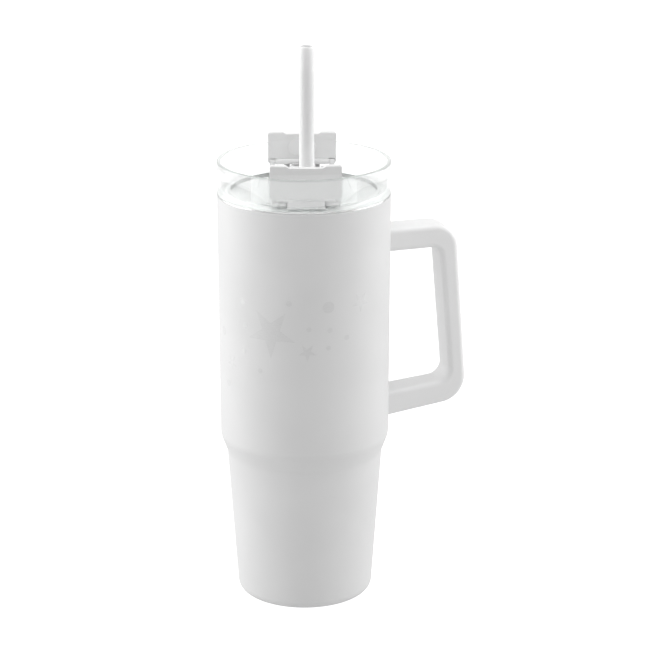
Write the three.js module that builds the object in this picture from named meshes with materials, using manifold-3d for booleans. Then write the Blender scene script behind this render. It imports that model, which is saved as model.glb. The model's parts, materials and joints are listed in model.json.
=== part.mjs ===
// Insulated tumbler with a side handle, a clear press-in lid with two flip flaps, and a straw.
// Millimetres, +Z up. The origin is the centre of the resting face and the handle points to +X.
// The lid is built in its own group, with its flaps on -Y and +Y, and is then turned on the mouth.

import * as THREE from 'three';
import { mergeVertices } from 'three/addons/utils/BufferGeometryUtils.js';
import Module from 'manifold-3d';

const wasm = await Module();
wasm.setup();

// ---- driving dimensions ----

const gap = 0.3; // clearance between pieces that touch
const cutRun = 1; // how far a cutting tool runs past the face it cuts
const turns = 40; // sides of a large round piece
const smallTurns = 20; // sides of a small round piece
const pinTurns = 12; // sides of a pin or a pinhole
const bendSteps = 8; // steps across a bent flap
const coarseArc = Math.PI / 6; // most that one step of a rounded corner turns
const fineArc = Math.PI / 18;
const edgeSegments = 3; // facets across a rounded edge

// steel body
const mouthHeight = 243.9; // top of the steel lip
const mouthRadius = 49.9;
const shoulderHeight = 98.9; // where the wide upper wall ends
const shoulderRadius = 49.3;
const neckHeight = 88.7; // where the narrow lower wall starts
const neckRadius = 45.5;
const footRadius = 39.4; // the lower wall carried down to the base
const footCorner = 5.5;
const kinkRound = 12; // soft bends above and below the cone
const shellWall = 0.7;
const linerWall = 0.6;
const vacuumGap = 2.6;
const shellBase = 0.8; // underside of the steel, above the pad's resting face
const linerFloor = 9.4; // inside floor of the cup
const lipThickness = 0.6;
const baseOpening = 33; // radius of the hole in the shell's turned-in base
const linerRise = 1; // the liner's bends sit a little higher than the shell's
const floorSpread = 0.7; // the cup's floor is a little wider than the tapered wall gives
const floorCorner = 5;
const lipInset = 0.2;
const basePlate = { overlap: 2, thickness: 0.7 }; // it overlaps the shell's turned-in base
const padInset = 0.4;
const sealBead = { radius: 3, height: 1.5 };
const getter = { radius: 6, height: 2, offset: 18 };

// handle
const handleWidth = 20;
const handleEdge = 2.5; // rounding along its edges
const upperArmMiddle = 213.4;
const lowerArmMiddle = 114.7;
const handleSink = 6; // how far the blank runs into the wall before it is trimmed
// its side outline from the lower arm's underside round to its top: distance, height, rounding
const gripOutside = [[98.2, 112.8, 16], [90.1, 220.6, 14]];
const gripInside = [[80, 206.7, 5], [87.1, 125, 8]];
const armRoots = { lowerUnder: 105.3, upperTop: 220.2, upperUnder: 206.2, lowerTop: 120.6 };
// each bracket has a foot against the wall and a tongue inside the arm
const bracketFoot = { reach: 53, halfWidth: 7, halfHeight: 4 };
const bracketTongue = { reach: 66, halfWidth: 5, halfHeight: 2.8 };
const bracketSink = 8;
// screw heights are measured from the middle of its arm
const screwOffset = 59;
const screwShaft = { radius: 1.5, from: -5.5, to: 1.5 };
const screwHead = { radius: 2.9, from: -6.5, to: -5.1 };
const screwSocket = { radius: 1.3, from: -7, to: -5.8 };
const counterboreTop = -4.8;
const armUnderside = -9; // below the arm, so that the holes come right out

// lid
const lidTurn = THREE.MathUtils.degToRad(-15);
const rimHeight = 262.8;
const rimRadius = 50;
const rimWall = 2.3;
const deckTop = 246;
const deckThickness = 2;
const skirtRadius = 43.8;
const skirtBottom = 231.6;
const skirtWall = 1.8;
const gasketGroove = { from: 235, to: 239, depth: 0.9 };
const ringGroove = { height: 248.2, depth: 0.4 };
const rimRound = 1;
const deckRound = 2;
const strawHoleRadius = 5.6;
const vent = { radius: 1.1, x: -21, y: -33 };
const tabPocketDepth = 1.1;
const gasketFin = { from: 237, to: 237.6, root: 0.7, clearance: 0.1 };

// white bridge across the deck
const bridgeBottom = deckTop + gap;
const bridgeTop = bridgeBottom + 2.1;
const bridgeHalf = 19.3;
const bridgeLength = 43; // half its length, without the tabs
const bridgeCorner = 4;
const tabRoot = 38; // where the middle tabs join it
const tabHalf = 10.5; // the middle tab at each end of the bridge
const tabOut = [43.7, 45.2];
const tabSlit = { width: 0.6, depth: 3 }; // the slits beside each tab let it spring
const tabDrop = 0.8; // the tab's lip reaches into the deck and stands above the plate
const tabRise = 1.2;
const sipHalf = [6.5, 3.2];
const sipCollar = { wall: 1, rise: 3.4 };
const grommetHole = 6.9;
const grommet = { neck: 6.6, flange: 8.2, rise: 1.2, round: 0.4 };

// straw
const strawRadius = 4.3;
const strawBore = 3.5;
const strawBottom = linerFloor + gap; // it stands on the floor of the cup
const strawTop = 328.4;
const strawOffset = 1.6; // the straw hole sits a little to one side of the lid's centre

// flaps: "out" is the distance from the lid's axis towards the flap
const hingeOut = 40.4;
const hingeHeight = 251.9;
const pinRadius = 0.8;
const pinBore = pinRadius + gap;
const pinInset = 0.2; // the pin's ends sit just inside the ears' outer faces
const barrelRadius = 1.6;
const barrelHalf = 15.7;
const flapHalf = 20;
const flapOut = 44; // outer face at the middle of a flap
const flapThickness = 2.8;
const flapSagitta = 1.5; // how far the flap's ends curve in from its middle
const flapBottom = 250.3;
const flapTop = 269.6;
const flapFlare = { height: 264.5, depth: 0.8, round: 4 }; // both faces spread to the top
const flapCorner = 1.5;
const flapTopRound = 1.5;
const flapNotch = { inner: 9.5, outer: 11.5, depth: 1.4, round: 1 };
const earSpan = [barrelHalf + gap, barrelHalf + 3.3];
const earRadius = 1.4;
const earClear = 2; // height above the pin of the flap's pockets for the ears
const sealHeight = 260.2; // middle of the flap's seal while the flap stands open
const sipOut = hingeOut - (sealHeight - hingeHeight); // middle of the opening it closes
const sealPad = { wide: 1.7, high: 1.5, thickness: 1.1, pocket: 0.9 }; // past the opening's size

// ---- finishes ----

const finish = (color, roughness, metalness = 0, extra = {}) =>
  () => new THREE.MeshStandardMaterial({ color, roughness, metalness, ...extra });

const powderCoat = finish('#eeeeee', 0.5);
const brushedSteel = finish('#c4c6c8', 0.3, 1);
const whitePlastic = finish('#ececec', 0.45);
const clearPlastic = finish('#f2f6f5', 0.08, 0, { transparent: true, opacity: 0.3 });
const softSilicone = finish('#e4e4e2', 0.7);
const clearSilicone = finish('#eef0f0', 0.6, 0, { transparent: true, opacity: 0.6 });
const glassSolder = finish('#6f7478', 0.4);

// ---- shape helpers ----

// A corner list of [x, y, radius] as points, with each given radius drawn as an arc.
function roundCorners(corners, closed, stepAngle = coarseArc) {
  const points = [];
  corners.forEach(([x, y, radius = 0], i) => {
    const corner = new THREE.Vector2(x, y);
    const before = corners[(i + corners.length - 1) % corners.length];
    const after = corners[(i + 1) % corners.length];
    const isEnd = !closed && (i === 0 || i === corners.length - 1);
    if (!radius || isEnd) {
      points.push(corner);
      return;
    }
    const back = new THREE.Vector2(before[0] - x, before[1] - y).normalize();
    const ahead = new THREE.Vector2(after[0] - x, after[1] - y).normalize();
    const half = Math.acos(THREE.MathUtils.clamp(back.dot(ahead), -1, 1)) / 2;
    const inward = back.clone().add(ahead).normalize();
    const centre = corner.clone().addScaledVector(inward, radius / Math.sin(half));
    const start = corner.clone().addScaledVector(back, radius / Math.tan(half)).sub(centre);
    const turn = Math.PI - 2 * half;
    const side = Math.sign(back.cross(ahead)) || 1;
    const steps = Math.max(1, Math.round(turn / stepAngle));
    for (let k = 0; k <= steps; k++) {
      const arm = start.clone().rotateAround(new THREE.Vector2(), (-side * turn * k) / steps);
      points.push(centre.clone().add(arm));
    }
  });
  return points;
}

// Turns a profile of [radius, height, rounding] corners about the Z axis.
function revolve(corners, sides = turns) {
  const onAxis = corners[0][0] === 0;
  const points = roundCorners(corners, !onAxis);
  if (!onAxis) points.push(points[0].clone());
  const geometry = new THREE.LatheGeometry(points, sides);
  geometry.rotateX(Math.PI / 2);
  return facingOut(geometry);
}

// Extrudes an outline of [x, y, rounding] corners along +Z, with optional rounded edges.
function extrude(corners, height, { edge = 0, steps = 1, arc = coarseArc } = {}) {
  const shape = new THREE.Shape(roundCorners(corners, true, arc));
  const geometry = new THREE.ExtrudeGeometry(shape, {
    depth: height - 2 * edge,
    steps,
    bevelEnabled: edge > 0,
    bevelThickness: edge,
    bevelSize: edge,
    bevelOffset: -edge,
    bevelSegments: edgeSegments,
  });
  geometry.translate(0, 0, edge);
  return facingOut(geometry);
}

function cylinder(radius, from, to, sides = smallTurns) {
  return revolve([[0, from], [radius, from], [radius, to], [0, to]], sides);
}

const inOrder = (a, b) => (a < b ? [a, b] : [b, a]);

function box(x0, x1, y0, y1, z0, z1) {
  const geometry = new THREE.BoxGeometry(x1 - x0, y1 - y0, z1 - z0);
  return geometry.translate((x0 + x1) / 2, (y0 + y1) / 2, (z0 + z1) / 2);
}

const almostWhole = 0.999; // keeps a short flat between two arcs that would meet in a point

// A slot-shaped post along Z: half its length lies along X.
function slotPost(halfLength, halfWidth, y, from, to) {
  const r = halfWidth * almostWhole;
  const corners = [
    [-halfLength, -halfWidth, r], [halfLength, -halfWidth, r],
    [halfLength, halfWidth, r], [-halfLength, halfWidth, r],
  ];
  return extrude(corners, to - from).translate(0, y, from);
}

// A rod along X, centred on the YZ plane.
function crossRod(radius, half, y, z, sides = smallTurns) {
  return cylinder(radius, -half, half, sides).rotateY(Math.PI / 2).translate(0, y, z);
}

function bare(geometry) {
  const copy = geometry.clone();
  copy.deleteAttribute('normal');
  copy.deleteAttribute('uv');
  return mergeVertices(copy, 1e-4);
}

// Flips the triangles of a closed geometry if they face in.
function facingOut(geometry) {
  const merged = bare(geometry);
  const position = merged.attributes.position;
  const index = merged.index.array;
  const [a, b, c] = [0, 1, 2].map(() => new THREE.Vector3());
  let volume = 0;
  for (let i = 0; i < index.length; i += 3) {
    [a, b, c].forEach((v, k) => v.fromBufferAttribute(position, index[i + k]));
    volume += a.dot(b.cross(c)) / 6;
  }
  if (volume < 0) {
    for (let i = 0; i < index.length; i += 3) {
      [index[i], index[i + 1]] = [index[i + 1], index[i]];
    }
  }
  return merged;
}

// ---- joining and cutting ----

function toSolid(geometry) {
  const merged = bare(geometry);
  return new wasm.Manifold(new wasm.Mesh({
    numProp: 3,
    vertProperties: Float32Array.from(merged.attributes.position.array),
    triVerts: Uint32Array.from(merged.index.array),
  }));
}

function toGeometry(solid) {
  const mesh = solid.getMesh();
  const geometry = new THREE.BufferGeometry();
  const position = new THREE.BufferAttribute(Float32Array.from(mesh.vertProperties), 3);
  geometry.setAttribute('position', position);
  geometry.setIndex(new THREE.BufferAttribute(Uint32Array.from(mesh.triVerts), 1));
  return geometry;
}

function join(...geometries) {
  return toGeometry(geometries.map(toSolid).reduce((all, solid) => all.add(solid)));
}

function cut(geometry, ...tools) {
  return toGeometry(tools.map(toSolid).reduce((rest, tool) => rest.subtract(tool), toSolid(geometry)));
}

function overlapOf(first, second) {
  return toGeometry(toSolid(first).intersect(toSolid(second)));
}

function piece(name, geometry, material) {
  const part = new THREE.Mesh(geometry, material());
  part.name = name;
  return part;
}

// ---- steel body ----

// Radius of the outer shell anywhere on its upper wall.
function shellRadius(height) {
  const share = (height - shoulderHeight) / (mouthHeight - shoulderHeight);
  return THREE.MathUtils.lerp(shoulderRadius, mouthRadius, share);
}

function outerShell() {
  const top = mouthHeight - lipThickness - gap;
  return revolve([
    [baseOpening, shellBase],
    [footRadius, shellBase, footCorner],
    [neckRadius, neckHeight, kinkRound],
    [shoulderRadius, shoulderHeight, kinkRound],
    [mouthRadius, top],
    [mouthRadius - shellWall, top],
    [shoulderRadius - shellWall, shoulderHeight + shellWall / 2],
    [neckRadius - shellWall, neckHeight + shellWall / 2],
    [footRadius - shellWall, shellBase + shellWall, footCorner - shellWall],
    [baseOpening, shellBase + shellWall],
  ]);
}

// The inner cup, with the flat lip that closes the vacuum space over the shell's top edge.
function innerLiner() {
  const inset = shellWall + vacuumGap;
  const neck = [neckRadius - inset, neckHeight + linerRise];
  const shoulder = [shoulderRadius - inset, shoulderHeight + linerRise];
  const mouth = mouthRadius - inset;
  const floor = footRadius - inset + floorSpread;
  const lipEdge = mouthRadius - lipInset;
  return revolve([
    [0, linerFloor - linerWall],
    [floor, linerFloor - linerWall, floorCorner],
    neck,
    shoulder,
    [mouth, mouthHeight - lipThickness],
    [lipEdge, mouthHeight - lipThickness],
    [lipEdge, mouthHeight],
    [mouth - linerWall, mouthHeight],
    [shoulder[0] - linerWall, shoulder[1], kinkRound],
    [neck[0] - linerWall, neck[1], kinkRound],
    [floor - linerWall, linerFloor, floorCorner - linerWall],
    [0, linerFloor],
  ]);
}

function steelBody() {
  const plateBottom = shellBase + shellWall + gap;
  const plateTop = plateBottom + basePlate.thickness;
  const onPlate = plateTop + gap;
  const plate = cylinder(baseOpening + basePlate.overlap, plateBottom, plateTop, turns);
  const pad = cylinder(baseOpening - padInset, 0, plateBottom - gap, turns);
  const bead = cylinder(sealBead.radius, onPlate, onPlate + sealBead.height);
  const tablet = cylinder(getter.radius, onPlate, onPlate + getter.height);
  const group = new THREE.Group();
  group.add(
    piece('outer_shell', outerShell(), powderCoat),
    piece('inner_liner', innerLiner(), brushedSteel),
    piece('base_plate', plate, brushedSteel),
    piece('base_pad', pad, softSilicone),
    piece('vacuum_seal', bead, glassSolder),
    piece('vacuum_getter', tablet.translate(getter.offset, 0, 0), brushedSteel),
  );
  return group;
}

// ---- handle and its fixings ----

// Everything inside the shell's upper wall, plus the clearance, to trim what meets the wall.
function wallTrim() {
  const low = shoulderHeight;
  const high = mouthHeight;
  return revolve([
    [0, low], [shellRadius(low) + gap, low], [shellRadius(high) + gap, high], [0, high],
  ]);
}

// A bracket: a foot against the shell and a tongue that reaches into the handle's arm.
function bracketBlank(middle, extra = 0) {
  const bars = [bracketFoot, bracketTongue].map(({ reach, halfWidth, halfHeight }) => {
    const wide = halfWidth + extra;
    const high = halfHeight + extra;
    return box(mouthRadius - bracketSink, reach + extra, -wide, wide, middle - high, middle + high);
  });
  return join(...bars);
}

// A round post on a screw's axis, with its heights measured from the middle of the arm.
function screwPost(middle, radius, from, to, sides = smallTurns) {
  return cylinder(radius, middle + from, middle + to, sides).translate(screwOffset, 0, 0);
}

function handleBody() {
  const inside = mouthRadius - handleSink;
  const side = [
    [inside, armRoots.lowerUnder],
    ...gripOutside,
    [inside, armRoots.upperTop],
    [inside, armRoots.upperUnder],
    ...gripInside,
    [inside, armRoots.lowerTop],
  ];
  const blank = extrude(side, handleWidth, { edge: handleEdge, arc: fineArc })
    .translate(0, 0, -handleWidth / 2)
    .rotateX(Math.PI / 2);
  const sockets = [upperArmMiddle, lowerArmMiddle].flatMap((middle) => [
    bracketBlank(middle, gap),
    screwPost(middle, screwShaft.radius + gap, armUnderside, 0),
    screwPost(middle, screwHead.radius + gap, armUnderside, counterboreTop),
  ]);
  return cut(blank, wallTrim(), ...sockets);
}

function screw(middle) {
  const post = ({ radius, from, to }, sides) => screwPost(middle, radius, from, to, sides);
  return cut(join(post(screwShaft), post(screwHead)), post(screwSocket, 6));
}

function handleAssembly() {
  const group = new THREE.Group();
  group.add(piece('handle_body', handleBody(), whitePlastic));
  for (const [place, middle] of [['upper', upperArmMiddle], ['lower', lowerArmMiddle]]) {
    const run = bracketTongue.halfHeight + cutRun;
    const hole = screwPost(middle, screwShaft.radius + gap, -run, run);
    const bracket = cut(bracketBlank(middle), wallTrim(), hole);
    group.add(piece(`${place}_bracket`, bracket, brushedSteel));
    group.add(piece(`${place}_bracket_screw`, screw(middle), brushedSteel));
  }
  return group;
}

// ---- lid ----

function lidBody() {
  const flange = mouthHeight + gap;
  const deckBottom = deckTop - deckThickness;
  const innerWall = rimRadius - rimWall;
  const ring = revolve([
    [0, deckBottom],
    [skirtRadius - skirtWall, deckBottom],
    [skirtRadius - skirtWall, skirtBottom],
    [skirtRadius, skirtBottom],
    [skirtRadius, gasketGroove.from],
    [skirtRadius - gasketGroove.depth, gasketGroove.from],
    [skirtRadius - gasketGroove.depth, gasketGroove.to],
    [skirtRadius, gasketGroove.to],
    [skirtRadius, flange],
    [rimRadius, flange],
    [rimRadius, ringGroove.height - ringGroove.depth],
    [rimRadius - ringGroove.depth, ringGroove.height],
    [rimRadius, ringGroove.height + ringGroove.depth],
    [rimRadius, rimHeight, rimRound],
    [innerWall, rimHeight, rimRound],
    [innerWall, deckTop, deckRound],
    [0, deckTop],
  ]);
  const through = [deckBottom - cutRun, deckTop + cutRun];
  const strawHole = cylinder(strawHoleRadius, ...through).translate(strawOffset, 0, 0);
  const ventHole = cylinder(vent.radius, ...through, pinTurns).translate(vent.x, vent.y, 0);
  const ends = [-1, 1].flatMap((side) => {
    const sip = slotPost(...sipHalf, side * sipOut, ...through);
    const across = tabHalf + gap;
    const along = inOrder(side * (tabOut[0] - gap), side * (tabOut[1] + gap));
    const pocket = box(-across, across, ...along, deckTop - tabPocketDepth, deckTop + cutRun);
    return [sip, pocket];
  });
  return cut(ring, strawHole, ventHole, ...ends);
}

// A ring with one fin that presses against the inside of the cup.
function lidGasket() {
  const back = skirtRadius - gasketGroove.depth + gap;
  const root = skirtRadius + gasketFin.root;
  const cupWall = mouthRadius - shellWall - vacuumGap - linerWall;
  const tip = cupWall - gap - gasketFin.clearance;
  const low = gasketGroove.from + gap;
  const high = gasketGroove.to - gap;
  return revolve([
    [back, low], [root, low], [tip, gasketFin.from],
    [tip, gasketFin.to], [root, high], [back, high],
  ]);
}

// The white plate across the deck: it holds the straw grommet, both sip openings and the hinges.
function lidBridge() {
  const signs = [[-1, -1], [1, -1], [1, 1], [-1, 1]];
  const outline = signs.map(([sx, sy]) => [sx * bridgeHalf, sy * bridgeLength, bridgeCorner]);
  const plate = extrude(outline, bridgeTop - bridgeBottom).translate(0, 0, bridgeBottom);
  const through = [bridgeBottom - cutRun, bridgeTop + sipCollar.rise + cutRun];
  const collarHalf = sipHalf.map((half) => half + sipCollar.wall);
  const collarTop = bridgeTop + sipCollar.rise;
  const adds = [];
  const cuts = [cylinder(grommetHole, ...through).translate(strawOffset, 0, 0)];
  for (const side of [-1, 1]) {
    const along = (near, far) => inOrder(side * near, side * far);
    const underEar = along(hingeOut - earRadius, hingeOut + earRadius);
    const lip = [...along(...tabOut), deckTop - tabDrop, bridgeTop + tabRise];
    adds.push(box(-tabHalf, tabHalf, ...along(tabRoot, tabOut[1]), bridgeBottom, bridgeTop));
    adds.push(box(-tabHalf, tabHalf, ...lip));
    adds.push(slotPost(...collarHalf, side * sipOut, bridgeBottom, collarTop));
    for (const hand of [-1, 1]) {
      const across = inOrder(...earSpan.map((x) => hand * x));
      const middle = (across[0] + across[1]) / 2;
      const knuckle = crossRod(earRadius, (across[1] - across[0]) / 2, side * hingeOut, hingeHeight);
      adds.push(knuckle.translate(middle, 0, 0));
      adds.push(box(...across, ...underEar, bridgeBottom, hingeHeight));
      const slitAcross = inOrder(hand * tabHalf, hand * (tabHalf + tabSlit.width));
      const slitAlong = along(bridgeLength - tabSlit.depth, bridgeLength + cutRun);
      cuts.push(box(...slitAcross, ...slitAlong, ...through));
    }
    cuts.push(crossRod(pinBore, bridgeHalf, side * hingeOut, hingeHeight));
    cuts.push(slotPost(...sipHalf, side * sipOut, ...through));
  }
  return cut(join(plate, ...adds), ...cuts);
}

function strawGrommet() {
  const hole = strawRadius + gap;
  const { neck, flange, rise, round } = grommet;
  return revolve([
    [hole, bridgeBottom], [neck, bridgeBottom], [neck, bridgeTop + gap],
    [flange, bridgeTop + gap], [flange, bridgeTop + rise, round], [hole, bridgeTop + rise],
  ], smallTurns).translate(strawOffset, 0, 0);
}

// Pushes a geometry towards the lid's axis, more so away from its middle.
function bend(geometry, side) {
  const position = geometry.attributes.position;
  for (let i = 0; i < position.count; i++) {
    const reach = position.getX(i) / flapHalf;
    position.setY(i, position.getY(i) - side * flapSagitta * reach * reach);
  }
  return geometry;
}

// The room for the ears at both ends of a flap's inner side; its outer skin hides them.
function earPockets(side) {
  const out = inOrder(side * (hingeOut - earRadius - cutRun), side * (hingeOut + earRadius + gap));
  return [-1, 1].map((hand) => {
    const across = inOrder(hand * barrelHalf, hand * (flapHalf + cutRun));
    return box(...across, ...out, flapBottom - cutRun, hingeHeight + earClear);
  });
}

// One flap as it stands open. Its side section is swept across, bent, then trimmed to its outline.
function flap(side) {
  const inner = flapOut - flapThickness;
  const { height: flare, depth: spread, round: flareRound } = flapFlare;
  const section = [
    [flapOut, flapBottom], [flapOut, flare, flareRound], [flapOut + spread, flapTop, spread],
    [inner - spread, flapTop, spread], [inner, flare, flareRound], [inner, flapBottom],
  ].map(([out, height, round]) => [-side * height, side * out, round]);
  const sweep = extrude(section, 2 * flapHalf, { steps: bendSteps })
    .translate(0, 0, -flapHalf)
    .rotateY(Math.PI / 2)
    .scale(1, 1, side);
  const rightHalf = [
    [flapHalf, flapBottom, flapCorner], [flapHalf, flapTop, flapTopRound],
    [flapNotch.outer, flapTop, flapNotch.round],
    [flapNotch.inner, flapTop - flapNotch.depth, flapNotch.round],
  ];
  const leftHalf = rightHalf.map(([x, ...rest]) => [-x, ...rest]).reverse();
  const front = extrude([...rightHalf, ...leftHalf], flapHalf)
    .rotateX(Math.PI / 2)
    .translate(0, side * flapOut + flapHalf / 2, 0);
  const blade = overlapOf(bend(facingOut(sweep), side), front);
  const barrel = crossRod(barrelRadius, barrelHalf, side * hingeOut, hingeHeight);
  const pocket = sealBlank(side, inner + sealPad.pocket, gap, flapThickness);
  const pinHole = crossRod(pinBore, flapHalf, side * hingeOut, hingeHeight);
  return cut(join(cut(blade, ...earPockets(side)), barrel), pinHole, pocket);
}

// A flat slot-shaped pad that stands against the flap's inner face.
function sealBlank(side, out, extra, thickness) {
  const halfWide = sipHalf[0] + sealPad.wide + extra;
  const halfHigh = sipHalf[1] + sealPad.high + extra;
  const pad = slotPost(halfWide, halfHigh, 0, -thickness, 0).rotateX(Math.PI / 2);
  if (side > 0) pad.rotateX(Math.PI);
  return facingOut(pad.translate(0, side * out, sealHeight));
}

function flapSeal(side) {
  const out = flapOut - flapThickness + sealPad.pocket - gap;
  return sealBlank(side, out, 0, sealPad.thickness);
}

function lidAssembly() {
  const group = new THREE.Group();
  group.add(
    piece('lid_body', lidBody(), clearPlastic),
    piece('lid_gasket', lidGasket(), clearSilicone),
    piece('lid_bridge', lidBridge(), whitePlastic),
    piece('straw_grommet', strawGrommet(), softSilicone),
  );
  for (const [place, side] of [['front', -1], ['rear', 1]]) {
    const pin = crossRod(pinRadius, earSpan[1] - pinInset, side * hingeOut, hingeHeight, pinTurns);
    group.add(
      piece(`${place}_flap`, flap(side), whitePlastic),
      piece(`${place}_flap_seal`, flapSeal(side), softSilicone),
      piece(`${place}_hinge_pin`, pin, brushedSteel),
    );
  }
  const tube = revolve([
    [strawBore, strawBottom], [strawRadius, strawBottom],
    [strawRadius, strawTop], [strawBore, strawTop],
  ], smallTurns).translate(strawOffset, 0, 0);
  group.add(piece('straw', tube, whitePlastic));
  group.rotation.z = lidTurn;
  return group;
}

// ---- whole object ----

const tumbler = new THREE.Group();
tumbler.add(steelBody(), handleAssembly(), lidAssembly());

export default tumbler;
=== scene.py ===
import json
from math import atan2, ceil, cos, pi, radians, sin, tan

import bmesh
import bpy
from mathutils import Matrix, Vector

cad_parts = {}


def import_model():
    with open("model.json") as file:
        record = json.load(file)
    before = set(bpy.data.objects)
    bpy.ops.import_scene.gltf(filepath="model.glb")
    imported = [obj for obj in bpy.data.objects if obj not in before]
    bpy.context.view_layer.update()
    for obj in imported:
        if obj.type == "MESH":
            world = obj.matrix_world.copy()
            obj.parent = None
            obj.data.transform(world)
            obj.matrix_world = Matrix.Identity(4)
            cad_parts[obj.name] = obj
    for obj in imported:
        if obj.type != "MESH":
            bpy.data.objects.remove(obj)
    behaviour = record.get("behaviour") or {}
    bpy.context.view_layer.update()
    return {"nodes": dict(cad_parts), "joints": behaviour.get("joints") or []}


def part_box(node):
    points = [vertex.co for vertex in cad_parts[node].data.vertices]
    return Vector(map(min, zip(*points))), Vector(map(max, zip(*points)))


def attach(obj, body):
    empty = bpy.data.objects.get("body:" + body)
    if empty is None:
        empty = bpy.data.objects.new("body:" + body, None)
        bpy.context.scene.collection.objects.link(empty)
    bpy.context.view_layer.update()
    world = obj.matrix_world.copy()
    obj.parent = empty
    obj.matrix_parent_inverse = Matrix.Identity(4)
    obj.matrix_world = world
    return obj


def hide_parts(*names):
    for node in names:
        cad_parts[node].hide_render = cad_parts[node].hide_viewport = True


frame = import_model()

# Insulated tumbler with a handle, a clear press-in lid with two flip flaps, and a straw.
# Shapes are drawn in millimetres in the frame's axes and become metres when a mesh is made.

MM = 0.001


def corners(node):
    """Lowest and highest corner of a CAD node, in millimetres."""
    low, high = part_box(node)
    return low / MM, high / MM


def safe_radius(node):
    """The largest radius that stays inside a round CAD node's box."""
    low, high = corners(node)
    return min(-low.x, -low.y, high.x, high.y)


# ---- measures: from the frame where it has them ----

shell_low, shell_high = corners("outer_shell")
liner_low, liner_high = corners("inner_liner")
pad_low, pad_high = corners("base_pad")
lid_low, lid_high = corners("lid_body")
gasket_low, gasket_high = corners("lid_gasket")
bridge_low = corners("lid_bridge")[0]
grommet_low, grommet_high = corners("straw_grommet")
flap_low, flap_high = corners("rear_flap")
straw_low, straw_high = corners("straw")

MOUTH_RADIUS = safe_radius("outer_shell")
LIP_RADIUS = safe_radius("inner_liner")
SHELL_TOP = shell_high.z
SHELL_BASE = shell_low.z
SHOULDER = (49.3, 98.9)  # radius and height where the wide wall starts
NECK = (45.5, 88.7)  # radius and height where the narrow wall ends
FOOT_RADIUS = 39.4
FOOT_CORNER = 5.5
KINK_ROUND = 12
SHELL_WALL = 0.7
LINER_WALL = 0.6
VACUUM_GAP = 2.6
BASE_OPENING = 33
CUP_FLOOR = liner_low.z + LINER_WALL

JOINTS = {joint["name"]: joint for joint in frame["joints"]}
fold_axis = JOINTS["rear_flap_fold"]["axis"]
LID_TURN = atan2(fold_axis[1], fold_axis[0])
fold_pos = Vector(JOINTS["rear_flap_fold"]["pos_m"]) / MM
HINGE_OUT = fold_pos.xy.length
HINGE_HEIGHT = fold_pos.z

RIM_RADIUS = safe_radius("lid_body")
RIM_TOP = lid_high.z
RIM_WALL = 2.3
FLANGE = SHELL_TOP + 1
DECK_TOP = 246
DECK_THICKNESS = 2
SKIRT_RADIUS = 43.8
SKIRT_WALL = 1.8
GROOVE_DEPTH = 0.9
STRAW_HOLE = 5.6  # through the deck
VENT_RADIUS = 1.1
VENT_PLACE = (-21, -33)

BRIDGE_HALF = 19.3
BRIDGE_LENGTH = 43
BRIDGE_CORNER = 4
BRIDGE_HOLE = 6.9  # round the grommet
BRIDGE_TOP = bridge_low.z + 3.2
COLLAR_TOP = BRIDGE_TOP + 3.4
TAB_HALF = 10.5
TAB_OUT = (43.7, 45.2)
TAB_ROOT = 38
SLIT = 0.6  # width of the slits beside each tab
SLIT_DEPTH = 3
SIP_HALF = (6.5, 3.2)
EAR_SPAN = (16, 19)
EAR_RADIUS = 1.4
EAR_CLEAR = 2

FLAP_HALF = 20
FLAP_OUT = 44
FLAP_THICKNESS = 2.8
FLAP_SAGITTA = 1.5
FLAP_BOTTOM = flap_low.z
FLAP_TOP = flap_high.z
FLARE_HEIGHT = FLAP_TOP - 5.1
FLARE = 0.8
BARREL_RADIUS = 1.6
BARREL_HALF = 15.7
PIN_RADIUS = 0.8
PIN_BORE = 1.1
SEAL_HEIGHT = 260.2
PAD_HALF = (SIP_HALF[0] + 1.7, SIP_HALF[1] + 1.5)
PAD_POCKET = 0.9  # depth of its pocket in the flap
PAD_THICKNESS = 1.1
SIP_OUT = HINGE_OUT - (SEAL_HEIGHT - HINGE_HEIGHT)

STRAW_RADIUS = 4.3
STRAW_BORE = 3.5
straw_centre = (straw_low + straw_high) / 2
STRAW_OFFSET = straw_centre.xy.length

HANDLE_WIDTH = 20
HANDLE_EDGE = 3.2

CAMERA_AZIMUTH = radians(-16.5)  # the camera stands this far round from -Y
FACING = CAMERA_AZIMUTH - pi / 2


# ---- mesh tools ----

def rounded(points, closed=True, step=radians(6)):
    """Corners of (x, y, radius) as points, with each given radius drawn as an arc."""
    count = len(points)
    result = []
    for i, (x, y, *extra) in enumerate(points):
        corner = Vector((x, y))
        if not extra or (not closed and i in (0, count - 1)):
            result.append(corner)
            continue
        radius = extra[0]
        back = (Vector(points[i - 1][:2]) - corner).normalized()
        ahead = (Vector(points[(i + 1) % count][:2]) - corner).normalized()
        half = back.angle(ahead) / 2
        centre = corner + (back + ahead).normalized() * (radius / sin(half))
        start = corner + back * (radius / tan(half)) - centre
        side = 1 if back.x * ahead.y - back.y * ahead.x > 0 else -1
        turn = pi - 2 * half
        steps = max(2, ceil(turn / step))
        for k in range(steps + 1):
            arm = Matrix.Rotation(-side * turn * k / steps, 2) @ start
            result.append(centre + arm)
    return result


def make(bm, name="piece"):
    """A new object from a closed bmesh drawn in millimetres."""
    bmesh.ops.remove_doubles(bm, verts=bm.verts, dist=1e-4)
    bmesh.ops.recalc_face_normals(bm, faces=bm.faces)
    bmesh.ops.scale(bm, vec=(MM, MM, MM), verts=bm.verts)
    mesh = bpy.data.meshes.new(name)
    bm.to_mesh(mesh)
    bm.free()
    obj = bpy.data.objects.new(name, mesh)
    bpy.context.scene.collection.objects.link(obj)
    return obj


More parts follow.
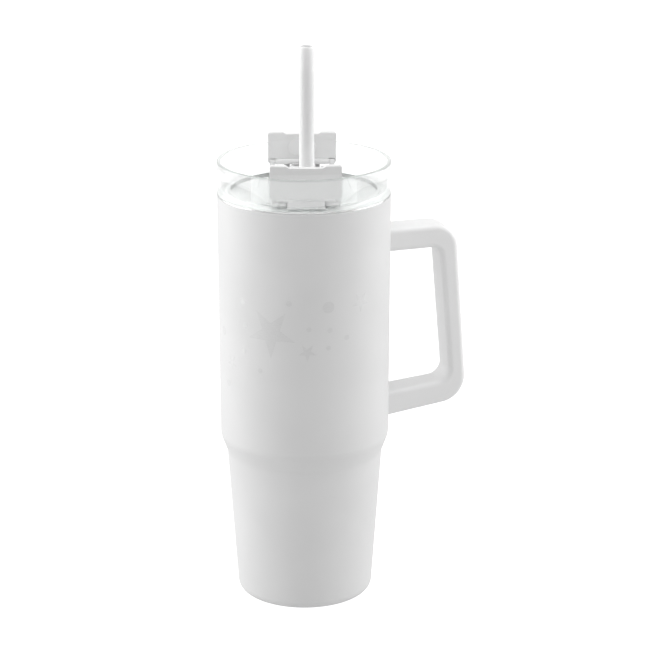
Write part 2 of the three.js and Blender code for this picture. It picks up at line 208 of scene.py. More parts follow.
def lathe(points, sides=192):
    """Turns (radius, height, rounding) corners about Z; they start and end on the axis or close."""
    on_axis = points[0][0] == 0
    profile = rounded(points, closed=not on_axis)
    bm = bmesh.new()
    rings = []
    for radius, height in profile:
        if radius < 1e-6:
            rings.append([bm.verts.new((0, 0, height))] * sides)
            continue
        angles = [2 * pi * k / sides for k in range(sides)]
        rings.append([bm.verts.new((radius * cos(a), radius * sin(a), height)) for a in angles])
    pairs = list(zip(rings, rings[1:]))
    if not on_axis:
        pairs.append((rings[-1], rings[0]))
    for low, high in pairs:
        for k in range(sides):
            n = (k + 1) % sides
            ring = [low[k], low[n], high[n], high[k]]
            distinct = [v for j, v in enumerate(ring) if v not in ring[:j]]
            if len(distinct) > 2:
                bm.faces.new(distinct)
    return make(bm)


def cylinder(radius, low, high, sides=64):
    return lathe([(0, low), (radius, low), (radius, high), (0, high)], sides)


def prism(outline, low, high, steps=1):
    """Extrudes an outline of (x, y) or (x, y, rounding) corners along Z."""
    points = rounded(outline)
    bm = bmesh.new()
    heights = [low + (high - low) * k / steps for k in range(steps + 1)]
    rings = [[bm.verts.new((x, y, z)) for x, y in points] for z in heights]
    bm.faces.new(rings[0])
    bm.faces.new(rings[-1])
    count = len(points)
    for lower, upper in zip(rings, rings[1:]):
        for k in range(count):
            n = (k + 1) % count
            bm.faces.new([lower[k], lower[n], upper[n], upper[k]])
    return make(bm)


def block(x0, x1, y0, y1, z0, z1):
    return prism([(x0, y0), (x1, y0), (x1, y1), (x0, y1)], z0, z1)


def rounded_block(half_x, half_y, rounding, low, high):
    """A block along Z, centred on it, with its four upright edges rounded."""
    signs = [(-1, -1), (1, -1), (1, 1), (-1, 1)]
    return prism([(sx * half_x, sy * half_y, rounding) for sx, sy in signs], low, high)


def slot_post(half_length, half_width, low, high):
    """A slot-shaped post along Z, with half its length along X."""
    nearly_round = half_width * 0.999
    return rounded_block(half_length, half_width, nearly_round, low, high)


def move(obj, matrix):
    """Moves an object's mesh, with the matrix's translation in millimetres."""
    scaled = matrix.copy()
    scaled.translation = matrix.translation * MM
    obj.data.transform(scaled)
    return obj


def shift(obj, x, y, z):
    return move(obj, Matrix.Translation((x, y, z)))


def turn(obj, degrees, axis):
    return move(obj, Matrix.Rotation(radians(degrees), 4, axis))


def rod(radius, half, out, height, sides=48):
    """A rod along X, centred on the YZ plane."""
    return shift(turn(cylinder(radius, -half, half, sides), 90, "Y"), 0, out, height)


def settle(obj):
    """Applies an object's modifiers to its mesh."""
    bpy.context.view_layer.update()
    graph = bpy.context.evaluated_depsgraph_get()
    mesh = bpy.data.meshes.new_from_object(obj.evaluated_get(graph), depsgraph=graph)
    old = obj.data
    obj.modifiers.clear()
    obj.data = mesh
    bpy.data.meshes.remove(old)
    return obj


def combine(obj, operation, others):
    for other in others:
        boolean = obj.modifiers.new("combine", "BOOLEAN")
        boolean.operation = operation
        boolean.solver = "EXACT"
        boolean.object = other
    settle(obj)
    for other in others:
        mesh = other.data
        bpy.data.objects.remove(other)
        bpy.data.meshes.remove(mesh)
    bm = bmesh.new()
    bm.from_mesh(obj.data)
    bmesh.ops.remove_doubles(bm, verts=bm.verts, dist=2e-6)
    bmesh.ops.dissolve_degenerate(bm, edges=bm.edges, dist=1e-6)
    bm.to_mesh(obj.data)
    bm.free()
    return obj


def join(obj, *others):
    return combine(obj, "UNION", others)


def cut(obj, *others):
    return combine(obj, "DIFFERENCE", others)


def bevel(obj, width, segments=3, angle=40):
    modifier = obj.modifiers.new("bevel", "BEVEL")
    modifier.width = width * MM
    modifier.segments = segments
    modifier.limit_method = "ANGLE"
    modifier.angle_limit = radians(angle)
    modifier.use_clamp_overlap = True
    return settle(obj)


def smooth(obj, angle=32):
    """Smooth shading that keeps large faces flat and true corners sharp."""
    obj.data.shade_smooth()
    obj.data.set_sharp_from_angle(angle=radians(angle))
    weighted = obj.modifiers.new("weighted", "WEIGHTED_NORMAL")
    weighted.keep_sharp = True
    weighted.weight = 50
    return settle(obj)


def finish(obj, name, body, slot, material, *replaced, angle=32):
    """Names a piece, gives it its material and hands it to the frame."""
    smooth(obj, angle)
    obj.name = name
    obj.data.name = name
    obj.data.materials.clear()
    obj.data.materials.append(material)
    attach(obj, body)
    if replaced:
        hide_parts(*replaced)
    return obj


def lid_finish(obj, *rest, **options):
    """As finish, for a piece drawn in the lid's own axes."""
    return finish(turn(obj, LID_TURN * 180 / pi, "Z"), *rest, **options)


# ---- materials ----

class Recipe:
    """A Principled material with helpers for its procedural inputs."""

    def __init__(self, name, **values):
        self.material = bpy.data.materials.new(name)
        self.material.use_nodes = True
        self.tree = self.material.node_tree
        self.shader = self.tree.nodes["Principled BSDF"]
        self.place = self.node("ShaderNodeTexCoord").outputs["Object"]
        for socket, value in values.items():
            self.shader.inputs[socket.replace("_", " ")].default_value = value

    def node(self, kind, **values):
        made = self.tree.nodes.new(kind)
        for socket, value in values.items():
            made.inputs[socket.replace("_", " ")].default_value = value
        return made

    def link(self, source, target):
        self.tree.links.new(source, target)

    def stretched(self, scale):
        mapping = self.node("ShaderNodeMapping", Scale=scale)
        self.link(self.place, mapping.inputs["Vector"])
        return mapping.outputs["Vector"]

    def noise(self, size, detail=2.0, place=None):
        """Noise with features of about the given size in millimetres."""
        made = self.node("ShaderNodeTexNoise", Scale=1 / (size * MM), Detail=detail)
        self.link(place or self.place, made.inputs["Vector"])
        return made.outputs["Fac"]

    def ranged(self, source, low, high, span=(0.3, 0.7)):
        made = self.node(
            "ShaderNodeMapRange", From_Min=span[0], From_Max=span[1], To_Min=low, To_Max=high
        )
        self.link(source, made.inputs["Value"])
        return made.outputs["Result"]

    def rough(self, source, low, high):
        self.link(self.ranged(source, low, high), self.shader.inputs["Roughness"])

    def tint(self, source, first, second, span=(0.3, 0.7)):
        """Base colour that wanders between two colours."""
        mix = self.node("ShaderNodeMix")
        mix.data_type = "RGBA"
        mix.inputs[6].default_value = (*first, 1)
        mix.inputs[7].default_value = (*second, 1)
        self.link(self.ranged(source, 0, 1, span), mix.inputs[0])
        self.link(mix.outputs[2], self.shader.inputs["Base Color"])

    def bump(self, source, depth, strength=1.0):
        """Bump of the given depth in millimetres; a second call adds to the first."""
        made = self.node("ShaderNodeBump", Strength=strength, Distance=depth * MM)
        self.link(source, made.inputs["Height"])
        normal = self.shader.inputs["Normal"]
        if normal.is_linked:
            self.link(normal.links[0].from_socket, made.inputs["Normal"])
        self.link(made.outputs["Normal"], normal)


def grey(value, warm=0.0):
    return (value + warm, value, value - warm)


def powder_coat():
    """Satin white powder coat: a fine orange peel over slow, faint unevenness."""
    coat = Recipe("powder_coat", Specular_IOR_Level=0.42, Coat_Weight=0.06, Coat_Roughness=0.35)
    coat.tint(coat.noise(38), grey(0.73), grey(0.76))
    coat.rough(coat.noise(1.4, 4), 0.40, 0.52)
    coat.bump(coat.noise(0.9, 3), 0.012, 0.6)
    coat.bump(coat.noise(6), 0.02, 0.25)
    return coat.material


def satin_plastic(name, light, dark, sheen=0.45):
    """Moulded satin plastic with a fine spark-eroded grain."""
    plastic = Recipe(name, Specular_IOR_Level=sheen, IOR=1.49)
    plastic.tint(plastic.noise(24), dark, light)
    plastic.rough(plastic.noise(0.8, 4), 0.38, 0.5)
    plastic.bump(plastic.noise(0.35, 3), 0.008, 0.7)
    plastic.bump(plastic.noise(9), 0.03, 0.2)
    return plastic.material


def straw_plastic():
    """Thin smooth polypropylene that lets a little light through."""
    plastic = Recipe(
        "straw_plastic", Subsurface_Weight=0.55, Subsurface_Radius=(0.004, 0.004, 0.004),
        Subsurface_Scale=0.8, Specular_IOR_Level=0.4,
    )
    plastic.tint(plastic.noise(15), grey(0.90), grey(0.93))
    lines = plastic.noise(0.5, 2, plastic.stretched((1, 1, 0.02)))
    plastic.rough(lines, 0.26, 0.38)
    plastic.bump(lines, 0.006, 0.5)
    return plastic.material


def clear_plastic(name, tint, alpha):
    """Clear moulded copolyester: glossy, with faint flow and the lightest green."""
    clear = Recipe(name, Base_Color=(*tint, 1), Transmission_Weight=1.0, IOR=1.5, Alpha=alpha)
    clear.rough(clear.noise(12, 3), 0.0, 0.035)
    clear.bump(clear.noise(16), 0.02, 0.25)
    return clear.material


def frosted_plastic():
    """The same plastic made milky, with a fine matte grain: a near-white fill that paints the light
    thick clear plastic carries, where the clear lid would render dark.
    """
    frost = Recipe("frosted_plastic", Transmission_Weight=0.15, IOR=1.5)
    frost.tint(frost.noise(14), (0.93, 0.95, 0.943), (0.95, 0.97, 0.963))
    frost.rough(frost.noise(0.6, 4), 0.42, 0.55)
    frost.bump(frost.noise(0.4, 3), 0.01, 0.6)
    return frost.material


def silicone(name, light, dark):
    """Soft matte silicone with a fine bloom."""
    rubber = Recipe(
        name, Subsurface_Weight=0.3, Subsurface_Radius=(0.003, 0.003, 0.003), Subsurface_Scale=0.4
    )
    rubber.tint(rubber.noise(7, 3), dark, light)
    rubber.rough(rubber.noise(1.1, 4), 0.55, 0.72)
    rubber.bump(rubber.noise(0.5, 3), 0.012, 0.5)
    return rubber.material


def turned_steel(name, light, dark, rough, ring=0.25):
    """Stainless steel with fine rings left by spinning and polishing about Z."""
    steel = Recipe(name, Metallic=1.0)
    rings = steel.noise(ring, 2, steel.stretched((0.02, 0.02, 1)))
    steel.tint(steel.noise(30), light, dark)
    steel.rough(rings, *rough)
    steel.bump(rings, 0.004, 0.5)
    return steel.material


def grained_steel(name, light, dark, rough):
    """Plain sheet or bar steel with a fine pickled grain."""
    steel = Recipe(name, Metallic=1.0)
    steel.tint(steel.noise(5, 4), light, dark)
    steel.rough(steel.noise(0.4, 4), *rough)
    steel.bump(steel.noise(0.3, 3), 0.006, 0.6)
    return steel.material


def engraving():
    """Where a laser has burnt the coat away: dull grey metal, finely scanned along its height."""
    metal = Recipe("engraving", Metallic=0.55, Specular_IOR_Level=0.3)
    scan = metal.noise(0.12, 2, metal.stretched((0.05, 0.05, 1)))
    metal.tint(scan, grey(0.70), grey(0.76))
    metal.rough(metal.noise(0.6, 3), 0.5, 0.65)
    metal.bump(scan, 0.004, 0.4)
    return metal.material


def solder():
    """Grey glass solder with a slightly beaded skin."""
    bead = Recipe("solder", Specular_IOR_Level=0.6)
    bead.tint(bead.noise(1.5, 4), grey(0.16), grey(0.24))
    bead.rough(bead.noise(1, 3), 0.3, 0.5)
    bead.bump(bead.noise(0.8, 3), 0.05, 0.7)
    return bead.material


COAT = powder_coat()
LINER_STEEL = turned_steel("liner_steel", grey(0.72), grey(0.77), (0.20, 0.34))
BARE_STEEL = grained_steel("bare_steel", grey(0.52), grey(0.60), (0.30, 0.45))
SOLDER = solder()
HANDLE_PLASTIC = satin_plastic("handle_plastic", grey(0.85), grey(0.83))
LID_PLASTIC = satin_plastic("lid_plastic", grey(0.80), grey(0.78), 0.5)
STRAW_PLASTIC = straw_plastic()
CLEAR = clear_plastic("clear_plastic", (0.965, 0.985, 0.977), 0.3)
# The rim's top edge: the same clear plastic with a darker grey-green tint and less transparency, a
# painted shade for the grey line refraction draws along the thick rim.
CLEAR_EDGE = clear_plastic("rim_painted_shade", (0.62, 0.65, 0.64), 0.8)
# Milky near-white fill: painted light standing in for the light carried through the lid's thick clear
# plastic.
FROSTED = frosted_plastic()
SEAL_SILICONE = silicone("seal_silicone", grey(0.84), grey(0.81))
PAD_SILICONE = silicone("pad_silicone", grey(0.76), grey(0.70))
ENGRAVING = engraving()


# ---- steel body ----

def outer_shell():
    inner = SHELL_WALL
    return lathe([
        (BASE_OPENING, SHELL_BASE),
        (FOOT_RADIUS, SHELL_BASE, FOOT_CORNER),
        (*NECK, KINK_ROUND),
        (*SHOULDER, KINK_ROUND),
        (MOUTH_RADIUS, SHELL_TOP, 0.3),
        (MOUTH_RADIUS - inner, SHELL_TOP, 0.3),
        (SHOULDER[0] - inner, SHOULDER[1] + inner / 2),
        (NECK[0] - inner, NECK[1] + inner / 2),
        (FOOT_RADIUS - inner, SHELL_BASE + inner, FOOT_CORNER - inner),
        (BASE_OPENING, SHELL_BASE + inner),
    ])


def inner_liner():
    """The inner cup, with a rolled lip over the shell's top edge."""
    inset = SHELL_WALL + VACUUM_GAP
    rise = 1
    floor_radius = FOOT_RADIUS - inset + 0.7
    mouth = MOUTH_RADIUS - inset
    wall = LINER_WALL
    lip = liner_high.z
    return lathe([
        (0, CUP_FLOOR - wall),
        (floor_radius, CUP_FLOOR - wall, 5),
        (NECK[0] - inset, NECK[1] + rise),
        (SHOULDER[0] - inset, SHOULDER[1] + rise),
        (mouth, SHELL_TOP + 0.02, 0.8),
        (LIP_RADIUS, SHELL_TOP + 0.02),
        (LIP_RADIUS, lip, 0.5),
        (mouth - wall, lip, 1.5),
        (SHOULDER[0] - inset - wall, SHOULDER[1] + rise, KINK_ROUND),
        (NECK[0] - inset - wall, NECK[1] + rise, KINK_ROUND),
        (floor_radius - wall, CUP_FLOOR, 4.4),
        (20, CUP_FLOOR),
        (19, CUP_FLOOR + 0.25),
        (0, CUP_FLOOR + 0.25),
    ])


def base_pad():
    """The foot pad, with a shallow ring groove and soft edges."""
    radius = safe_radius("base_pad")
    groove = (24, 26)
    depth = 0.5
    return lathe([
        (0, pad_low.z),
        (groove[0], pad_low.z, 0.2),
        (groove[0] + depth, pad_low.z + depth, 0.2),
        (groove[1] - depth, pad_low.z + depth, 0.2),
        (groove[1], pad_low.z, 0.2),
        (radius, pad_low.z, 0.6),
        (radius, pad_high.z),
        (0, pad_high.z),
    ])


def steel_body():
    shell = outer_shell()
    finish(shell, "shell", "tumbler", "shell_coat", COAT, "outer_shell")
    finish(inner_liner(), "liner", "tumbler", "liner_steel", LINER_STEEL, "inner_liner")
    finish(base_pad(), "foot_pad", "tumbler", "pad_silicone", PAD_SILICONE, "base_pad")


# ---- print ----

def wall_radius(height):
    share = (height - SHOULDER[1]) / (SHELL_TOP - SHOULDER[1])
    return SHOULDER[0] + (MOUTH_RADIUS - SHOULDER[0]) * share


def star(radius, tips=5, waist=0.38):
    """Outline of a star with one tip down."""
    reach = [radius, radius * waist]
    angles = [pi * k / tips - pi / 2 for k in range(2 * tips)]
    return [(reach[k % 2] * cos(a), reach[k % 2] * sin(a)) for k, a in enumerate(angles)]


def dot(radius, sides=28):
    return [(radius * cos(2 * pi * k / sides), radius * sin(2 * pi * k / sides)) for k in range(sides)]


def mark(bm, outline, angle, height, skin=0.03, depth=0.3):
    """Adds a thin plate of that outline, wrapped onto the wall at an angle and height."""
    start = len(bm.verts)
    hub = bm.verts.new((0, 0, 0))
    rim = [bm.verts.new((x, y, 0)) for x, y in outline]
    faces = [bm.faces.new((hub, a, b)) for a, b in zip(rim, rim[1:] + rim[:1])]
    edges = list({edge for face in faces for edge in face.edges})
    bmesh.ops.subdivide_edges(bm, edges=edges, cuts=7, use_grid_fill=True)
    bm.verts.index_update()
    top = [v for v in bm.verts if v.index >= start]
    flat = [f for f in bm.faces if f.verts[0].index >= start]
    made = bmesh.ops.extrude_face_region(bm, geom=flat)
    lifted = [v for v in made["geom"] if isinstance(v, bmesh.types.BMVert)]
    for v in lifted:
        v.co.z = -depth
    for v in top + lifted:
        z = height + v.co.y
        radius = wall_radius(z) + skin + v.co.z
        around = angle + v.co.x / wall_radius(z)
        v.co = (radius * cos(around), radius * sin(around), z)


# (degrees round from the FACING direction, height, radius), measured from the reference picture
DOTS = [
    (-44, 189, 1.9), (-10, 191.5, 1.7), (16, 189, 3.4), (-68, 166.5, 2.7), (-42, 175, 1.5),
    (3, 176.5, 1.5), (17, 175.5, 1.5), (29, 170, 1.6), (16, 165, 1.4), (-44, 160, 1.9),
    (-30.5, 150, 1.5), (-61.5, 136.5, 2.0),
]
STARS = [(-22.5, 173.5, 15.2), (2, 163, 5.6), (-57, 150, 4.9), (40, 189.5, 6.2)]


def shell_print():
    bm = bmesh.new()
    for degrees, height, radius in DOTS:
        mark(bm, dot(radius), FACING + radians(degrees), height)
    for degrees, height, radius in STARS:
        mark(bm, star(radius), FACING + radians(degrees), height)
    finish(make(bm), "shell_print", "tumbler", "shell_coat", ENGRAVING, angle=50)


# ---- handle ----

def handle():
    """A rounded D-shaped grip, trimmed to stand just clear of the wall."""
    inside = MOUTH_RADIUS - 6
    side = [
        (inside, 105.3), (98.1, 112.8, 16), (90.1, 220.6, 14), (inside, 220.2),
        (inside, 206.2), (80, 206.7, 5), (87.1, 125, 8), (inside, 120.6),
    ]
    grip = prism(side, -HANDLE_WIDTH / 2, HANDLE_WIDTH / 2)
    turn(grip, 90, "X")
    bevel(grip, HANDLE_EDGE, 6, 60)
    clear = 0.3
    low, high = 95, 235
    wall = lathe([
        (0, low), (wall_radius(low) + clear, low), (wall_radius(high) + clear, high), (0, high),
    ])
    cut(grip, wall)
    finish(grip, "handle", "tumbler", "handle_plastic", HANDLE_PLASTIC, "handle_body")


# ---- lid ----

def lid_body():
    """The clear lid: splash ring, deck and plug skirt, with its holes."""
    inner = RIM_RADIUS - RIM_WALL
    skirt_in = SKIRT_RADIUS - SKIRT_WALL
    deck_low = DECK_TOP - DECK_THICKNESS
    groove = (gasket_low.z - 0.3, gasket_high.z + 0.3)
    bead = 248.2
    relief = 1.5  # undercut beside the skirt's root
    body = lathe([
        (0, deck_low),
        (skirt_in, deck_low, 0.8),
        (skirt_in, lid_low.z, 0.5),
        (SKIRT_RADIUS, lid_low.z, 0.5),
        (SKIRT_RADIUS, groove[0]),
        (SKIRT_RADIUS - GROOVE_DEPTH, groove[0]),
        (SKIRT_RADIUS - GROOVE_DEPTH, groove[1]),
        (SKIRT_RADIUS, groove[1]),
        (SKIRT_RADIUS, FLANGE + relief),
        (SKIRT_RADIUS + relief, FLANGE),
        (RIM_RADIUS, FLANGE, 0.5),
        (RIM_RADIUS, bead - 0.4, 0.3),
        (RIM_RADIUS - 0.4, bead, 0.3),
        (RIM_RADIUS, bead + 0.4, 0.3),
        (RIM_RADIUS, RIM_TOP, 0.9),
        (inner, RIM_TOP, 0.9),
        (inner, DECK_TOP, 2),
        (SKIRT_RADIUS, DECK_TOP),
        (skirt_in, DECK_TOP),
        (0, DECK_TOP),
    ])
    through = (deck_low - 1, DECK_TOP + 1)
    tools = [
        shift(cylinder(STRAW_HOLE, *through), STRAW_OFFSET, 0, 0),
        shift(cylinder(VENT_RADIUS, *through, 32), *VENT_PLACE, 0),
    ]
    for side in (-1, 1):
        tools.append(shift(slot_post(*SIP_HALF, *through), 0, side * SIP_OUT, 0))
        near, far = sorted((side * (TAB_OUT[0] - 0.3), side * (TAB_OUT[1] + 0.3)))
        half = TAB_HALF + 0.3
        tools.append(block(-half, half, near, far, DECK_TOP - 1.1, DECK_TOP + 1))
    cut(body, *tools)
    lid_finish(body, "clear_lid", "lid", "clear_lid", CLEAR, "lid_body")
    body.data.materials.append(FROSTED)
    body.data.materials.append(CLEAR_EDGE)
    # Faces under the deck and over the skirt take the milky material, painted light for the brightness
    # thick clear plastic carries there.
    for face in body.data.polygons:
        height = face.center.z / MM
        radius = face.center.xy.length / MM
        below = height < DECK_TOP - 0.3 and radius < RIM_RADIUS - 0.6
        over_skirt = height < DECK_TOP + 0.1 and skirt_in < radius < SKIRT_RADIUS
        if below or over_skirt:
            face.material_index = 1
        # Faces on the rim's top edge take the darker edge material: painted shade for the grey
        # refraction line along the rim.
        elif height > RIM_TOP - 0.9:
            face.material_index = 2


def lid_gasket():
    """A ring with two soft fins that press against the inside of the cup."""
    low, high = gasket_low.z, gasket_high.z
    back = SKIRT_RADIUS - GROOVE_DEPTH + 0.3
    root = SKIRT_RADIUS + 0.5
    tip = safe_radius("lid_gasket")
    middle = (low + high) / 2
    ring = lathe([
        (back, low, 0.2), (root, low, 0.3), (tip, low + 0.9, 0.2), (tip, low + 1.3, 0.2),
        (root, middle, 0.3),
        (tip, middle + 0.6, 0.2), (tip, middle + 1.0, 0.2), (root, high, 0.3), (back, high, 0.2),
    ])
    lid_finish(ring, "gasket", "lid", "seal_silicone", SEAL_SILICONE, "lid_gasket")


def ordered_block(x0, x1, y0, y1, z0, z1):
    return block(*sorted((x0, x1)), *sorted((y0, y1)), z0, z1)


def lid_bridge():
    """The white plate across the deck, with hinge ears, sip collars and end tabs."""
    low = DECK_TOP + 0.3
    plate = rounded_block(BRIDGE_HALF, BRIDGE_LENGTH, BRIDGE_CORNER, low, BRIDGE_TOP)
    added = []
    removed = [shift(cylinder(BRIDGE_HOLE, low - 1, BRIDGE_TOP + 1), STRAW_OFFSET, 0, 0)]
    collar = (SIP_HALF[0] + 1, SIP_HALF[1] + 1)
    for side in (-1, 1):
        added += [
            ordered_block(-TAB_HALF, TAB_HALF, side * TAB_ROOT, side * TAB_OUT[1], low, BRIDGE_TOP),
            ordered_block(
                -TAB_HALF, TAB_HALF, side * TAB_OUT[0], side * TAB_OUT[1],
                bridge_low.z, BRIDGE_TOP + 1.2,
            ),
            shift(slot_post(*collar, low, COLLAR_TOP), 0, side * SIP_OUT, 0),
        ]
        for hand in (-1, 1):
            x0, x1 = sorted(hand * x for x in EAR_SPAN)
            knuckle = rod(EAR_RADIUS, (x1 - x0) / 2, side * HINGE_OUT, HINGE_HEIGHT)
            post = (side * (HINGE_OUT - EAR_RADIUS), side * (HINGE_OUT + EAR_RADIUS))
            added += [
                shift(knuckle, (x0 + x1) / 2, 0, 0),
                ordered_block(x0, x1, *post, low, HINGE_HEIGHT),
            ]
            slit = (hand * TAB_HALF, hand * (TAB_HALF + SLIT))
            along = (side * (BRIDGE_LENGTH - SLIT_DEPTH), side * (BRIDGE_LENGTH + 1))
            removed.append(ordered_block(*slit, *along, low - 1, BRIDGE_TOP + 1))
        removed += [
            rod(PIN_BORE, BRIDGE_HALF, side * HINGE_OUT, HINGE_HEIGHT),
            shift(slot_post(*SIP_HALF, low - 1, COLLAR_TOP + 1), 0, side * SIP_OUT, 0),
        ]
    join(plate, *added)
    cut(plate, *removed)
    bevel(plate, 0.3, 2)
    lid_finish(plate, "bridge", "lid", "lid_plastic", LID_PLASTIC, "lid_bridge")


def straw_grommet():
    """A soft ring with a flange, raised a little where the straw passes."""
    hole = STRAW_RADIUS + 0.3
    shank = 6.6
    flange = 8.2
    seat = BRIDGE_TOP + 0.3
    top = grommet_high.z
    ring = lathe([
        (hole, grommet_low.z, 0.3), (shank, grommet_low.z, 0.3), (shank, seat),
        (flange, seat, 0.3), (flange, top - 0.2, 0.5), (hole + 1, top, 0.4), (hole, top, 0.3),
    ], 96)
    shift(ring, STRAW_OFFSET, 0, 0)
    lid_finish(ring, "grommet", "lid", "seal_silicone", SEAL_SILICONE, "straw_grommet")


def bend(obj):
    """Pushes a flap's ends in towards the lid's axis."""
    for v in obj.data.vertices:
        reach = v.co.x / (FLAP_HALF * MM)
        v.co.y -= FLAP_SAGITTA * MM * reach * reach
    return obj


def seal_pad(half_wide, half_high, face, thickness):
    """A slot-shaped pad whose outer face stands at a distance from the lid's axis."""
    pad = turn(slot_post(half_wide, half_high, 0, thickness), 90, "X")
    return shift(pad, 0, face, SEAL_HEIGHT)


def flap():
    """One flap as it stands open on the +Y side."""
    inner = FLAP_OUT - FLAP_THICKNESS
    section = [
        (FLAP_OUT, FLAP_BOTTOM), (FLAP_OUT, FLARE_HEIGHT, 4), (FLAP_OUT + FLARE, FLAP_TOP, FLARE),
        (inner - FLARE, FLAP_TOP, FLARE), (inner, FLARE_HEIGHT, 4), (inner, FLAP_BOTTOM),
    ]
    sweep = prism(section, -FLAP_HALF, FLAP_HALF, steps=24)
    stand = Matrix(((0, 0, 1, 0), (1, 0, 0, 0), (0, 1, 0, 0), (0, 0, 0, 1)))
    bend(move(sweep, stand))
    notch = (9.5, 11.5, 1.4)
    half = [
        (FLAP_HALF, FLAP_BOTTOM, 1.5), (FLAP_HALF, FLAP_TOP, 1.5),
        (notch[1], FLAP_TOP, 1), (notch[0], FLAP_TOP - notch[2], 1),
    ]
    outline = half + [(-x, z, *rest) for x, z, *rest in reversed(half)]
    deep = 10  # more than the bent blade's depth
    front = shift(turn(prism(outline, -deep, deep), 90, "X"), 0, FLAP_OUT, 0)
    combine(sweep, "INTERSECT", [front])
    bevel(sweep, 0.35, 3)
    under_skin = (HINGE_OUT - EAR_RADIUS - 1, HINGE_OUT + EAR_RADIUS + 0.3)
    ear_room = (FLAP_BOTTOM - 1, HINGE_HEIGHT + EAR_CLEAR)
    pockets = [
        ordered_block(hand * BARREL_HALF, hand * (FLAP_HALF + 1), *under_skin, *ear_room)
        for hand in (-1, 1)
    ]
    cut(sweep, *pockets)
    join(sweep, rod(BARREL_RADIUS, BARREL_HALF, HINGE_OUT, HINGE_HEIGHT))
    pad_pocket = seal_pad(*(half + 0.03 for half in PAD_HALF), inner + PAD_POCKET, 3)
    return cut(sweep, rod(PIN_BORE, FLAP_HALF, HINGE_OUT, HINGE_HEIGHT), pad_pocket)


def flaps():
    for place, facing in (("front", 180), ("rear", 0)):
        body = f"{place}_flap"
        blade = turn(flap(), facing, "Z")
        lid_finish(blade, f"{place}_blade", body, "lid_plastic", LID_PLASTIC, f"{place}_flap")
        face = FLAP_OUT - FLAP_THICKNESS + PAD_POCKET - 0.3
        pad = bevel(seal_pad(*PAD_HALF, face, PAD_THICKNESS), 0.25, 3)
        turn(pad, facing, "Z")
        lid_finish(pad, f"{place}_pad", body, "seal_silicone", SEAL_SILICONE, f"{place}_flap_seal")
        pin = rod(PIN_RADIUS, EAR_SPAN[1] - 0.2, HINGE_OUT, HINGE_HEIGHT, 32)
        bevel(pin, 0.15, 2)
        turn(pin, facing, "Z")
        lid_finish(pin, f"{place}_pin", "lid", "bare_steel", BARE_STEEL, f"{place}_hinge_pin")


# ---- straw ----

def straw():
    tube = lathe([
        (STRAW_BORE, straw_low.z, 0.3), (STRAW_RADIUS, straw_low.z, 0.4),
        (STRAW_RADIUS, straw_high.z, 0.4), (STRAW_BORE, straw_high.z, 0.3),
    ], 96)
    shift(tube, STRAW_OFFSET, 0, 0)
    lid_finish(tube, "drinking_straw", "straw", "straw_plastic", STRAW_PLASTIC, "straw")


# ---- hidden CAD pieces keep their shape ----

def dress_cad_nodes():
    finishes = {
        "base_plate": BARE_STEEL, "vacuum_seal": SOLDER, "vacuum_getter": BARE_STEEL,
        "upper_bracket": BARE_STEEL, "lower_bracket": BARE_STEEL,
        "upper_bracket_screw": BARE_STEEL, "lower_bracket_screw": BARE_STEEL,
    }
    for node, material in finishes.items():
        obj = frame["nodes"][node]
        obj.data.materials.clear()
        obj.data.materials.append(material)


# ---- camera, floor and light ----

def aim(obj, target):
    direction = Vector(target) - obj.location
    obj.rotation_euler = direction.to_track_quat("-Z", "Y").to_euler()


def camera():
    distance = 1.4
    height = 0.6
    pitch = 0.302
    beside = 0.01205  # the object stands a little left of the picture's middle
    data = bpy.data.cameras.new("camera")
    data.lens = 139.5
    data.sensor_width = 36
    obj = bpy.data.objects.new("camera", data)
    bpy.context.scene.collection.objects.link(obj)
    right = Vector((cos(CAMERA_AZIMUTH), sin(CAMERA_AZIMUTH), 0))
    towards = Vector((cos(FACING), sin(FACING), 0))
    obj.location = towards * distance + Vector((0, 0, height))
    aim(obj, right * beside + Vector((0, 0, height - distance * tan(pitch))))
    bpy.context.scene.camera = obj


def seen_directly(tree):
    """1 for rays that come straight from the camera or through clear plastic."""
    path = tree.nodes.new("ShaderNodeLightPath")
    either = tree.nodes.new("ShaderNodeMath")
    either.operation = "MAXIMUM"
    tree.links.new(path.outputs["Is Camera Ray"], either.inputs[0])
    tree.links.new(path.outputs["Is Transmission Ray"], either.inputs[1])
    return either.outputs["Value"]


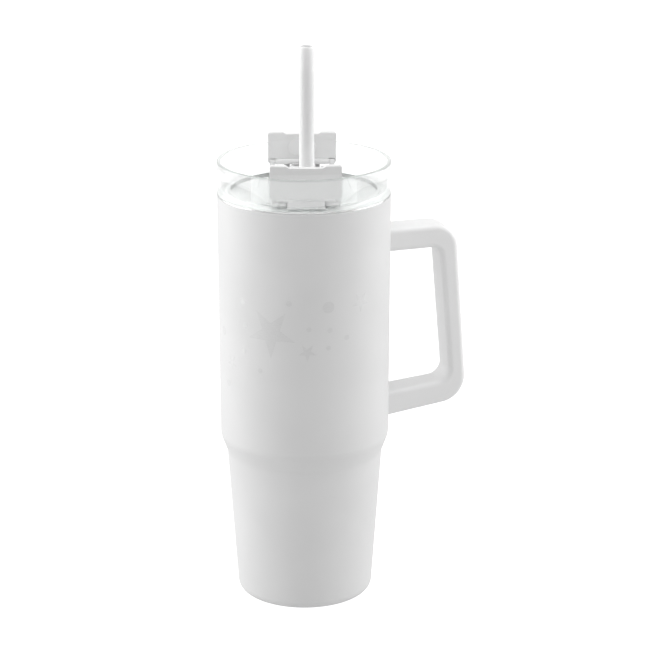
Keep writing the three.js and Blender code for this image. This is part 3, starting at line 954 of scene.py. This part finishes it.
def strength(tree, indirect, direct):
    """A strength that is one value as light on the object and another as seen."""
    scale = tree.nodes.new("ShaderNodeMapRange")
    scale.inputs["To Min"].default_value = indirect
    scale.inputs["To Max"].default_value = direct
    tree.links.new(seen_directly(tree), scale.inputs["Value"])
    return scale.outputs["Result"]


AMBIENT = 0.5


def world():
    made = bpy.data.worlds.new("studio")
    made.use_nodes = True
    tree = made.node_tree
    background = tree.nodes["Background"]
    background.inputs["Color"].default_value = (1, 1, 1, 1)
    tree.links.new(strength(tree, AMBIENT, 1.05), background.inputs["Strength"])
    bpy.context.scene.world = made


def floor():
    """A pale seamless floor that reads as white and gives back a soft even light."""
    bm = bmesh.new()
    bmesh.ops.create_circle(bm, cap_ends=True, segments=64, radius=12000)
    obj = make(bm, "floor")
    obj.location.z = -0.0004
    material = bpy.data.materials.new("floor")
    material.use_nodes = True
    tree = material.node_tree
    shader = tree.nodes["Principled BSDF"]
    shader.inputs["Base Color"].default_value = (0.25, 0.25, 0.25, 1)
    shader.inputs["Roughness"].default_value = 0.9
    shader.inputs["Emission Color"].default_value = (1, 1, 1, 1)
    tree.links.new(strength(tree, 0.45, 1.1), shader.inputs["Emission Strength"])
    obj.data.materials.append(material)


def softbox(name, angle, height, reach, size, power):
    """A square soft light at an angle round from the camera's side."""
    data = bpy.data.lights.new(name, "AREA")
    data.shape = "SQUARE"
    data.size = size
    data.energy = power
    obj = bpy.data.objects.new(name, data)
    bpy.context.scene.collection.objects.link(obj)
    around = FACING + angle
    obj.location = (reach * cos(around), reach * sin(around), height)
    aim(obj, (0, 0, 0.15))


def lights():
    softbox("left_softbox", radians(-100), 0.5, 1.5, 1.6, 23)
    softbox("right_softbox", radians(100), 0.5, 1.5, 1.6, 18)
    softbox("top_softbox", 0, 1.8, 0.01, 1.4, 14)


steel_body()
shell_print()
handle()
lid_body()
lid_gasket()
lid_bridge()
straw_grommet()
flaps()
straw()
dress_cad_nodes()
camera()
world()
floor()
lights()
bpy.context.scene.view_settings.view_transform = "Standard"

bpy.context.view_layer.update()
